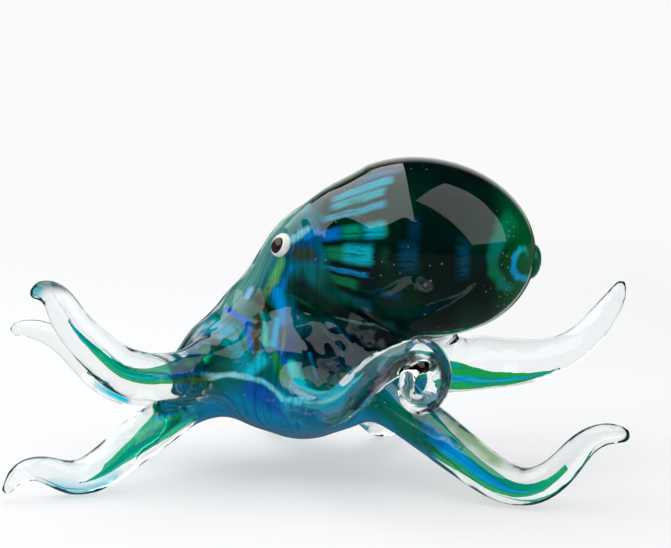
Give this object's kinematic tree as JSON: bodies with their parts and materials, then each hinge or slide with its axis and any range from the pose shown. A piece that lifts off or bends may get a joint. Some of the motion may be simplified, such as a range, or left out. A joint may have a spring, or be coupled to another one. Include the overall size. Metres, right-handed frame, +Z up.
{
  "type": "octopus figurine",
  "caption": "Glass octopus figurine with a dark cased mantle, applied eyes and clear arms threaded with blue and green, some raised and some standing.",
  "frame": {"origin": "on the floor, under the middle of the figurine's box", "axes": "+X from the face to the rear end of the mantle, +Y from the animal's left side to its right, +Z up"},
  "size_m": [0.203, 0.1504, 0.0985],
  "materials": {
    "clear_glass": "clear, fire polished",
    "mantle_glass": "dark blue-green, streaked with teal",
    "swirl_glass": "green and blue, twisted",
    "head_glass": "teal and green, streaked",
    "crown_glass": "teal and blue, streaked",
    "belly_glass": "deep blue",
    "blue_glass": "blue to turquoise",
    "green_glass": "leaf green",
    "white_glass": "opaque white",
    "black_glass": "opaque black"
  },
  "bodies": {
    "root": {"mantle_casing": "clear_glass", "mantle_core": "mantle_glass", "rear_swirl": "swirl_glass", "head": "head_glass", "crown": "crown_glass", "belly": "belly_glass", "left_arm_1": "clear_glass", "left_arm_1_blue_thread": "blue_glass", "left_arm_1_green_thread": "green_glass", "left_arm_2": "clear_glass", "left_arm_2_blue_thread": "blue_glass", "left_arm_2_green_thread": "green_glass", "left_arm_3": "clear_glass", "left_arm_3_blue_thread": "blue_glass", "left_arm_3_green_thread": "green_glass", "left_arm_4": "clear_glass", "left_arm_4_blue_thread": "blue_glass", "left_arm_4_green_thread": "green_glass", "right_arm_1": "clear_glass", "right_arm_1_blue_thread": "blue_glass", "right_arm_1_green_thread": "green_glass", "right_arm_2": "clear_glass", "right_arm_2_blue_thread": "blue_glass", "right_arm_2_green_thread": "green_glass", "right_arm_3": "clear_glass", "right_arm_3_blue_thread": "blue_glass", "right_arm_3_green_thread": "green_glass", "right_arm_4": "clear_glass", "right_arm_4_blue_thread": "blue_glass", "right_arm_4_green_thread": "green_glass", "left_eye_white": "white_glass", "left_pupil": "black_glass", "right_eye_white": "white_glass", "right_pupil": "black_glass"}
  },
  "joints": []
}
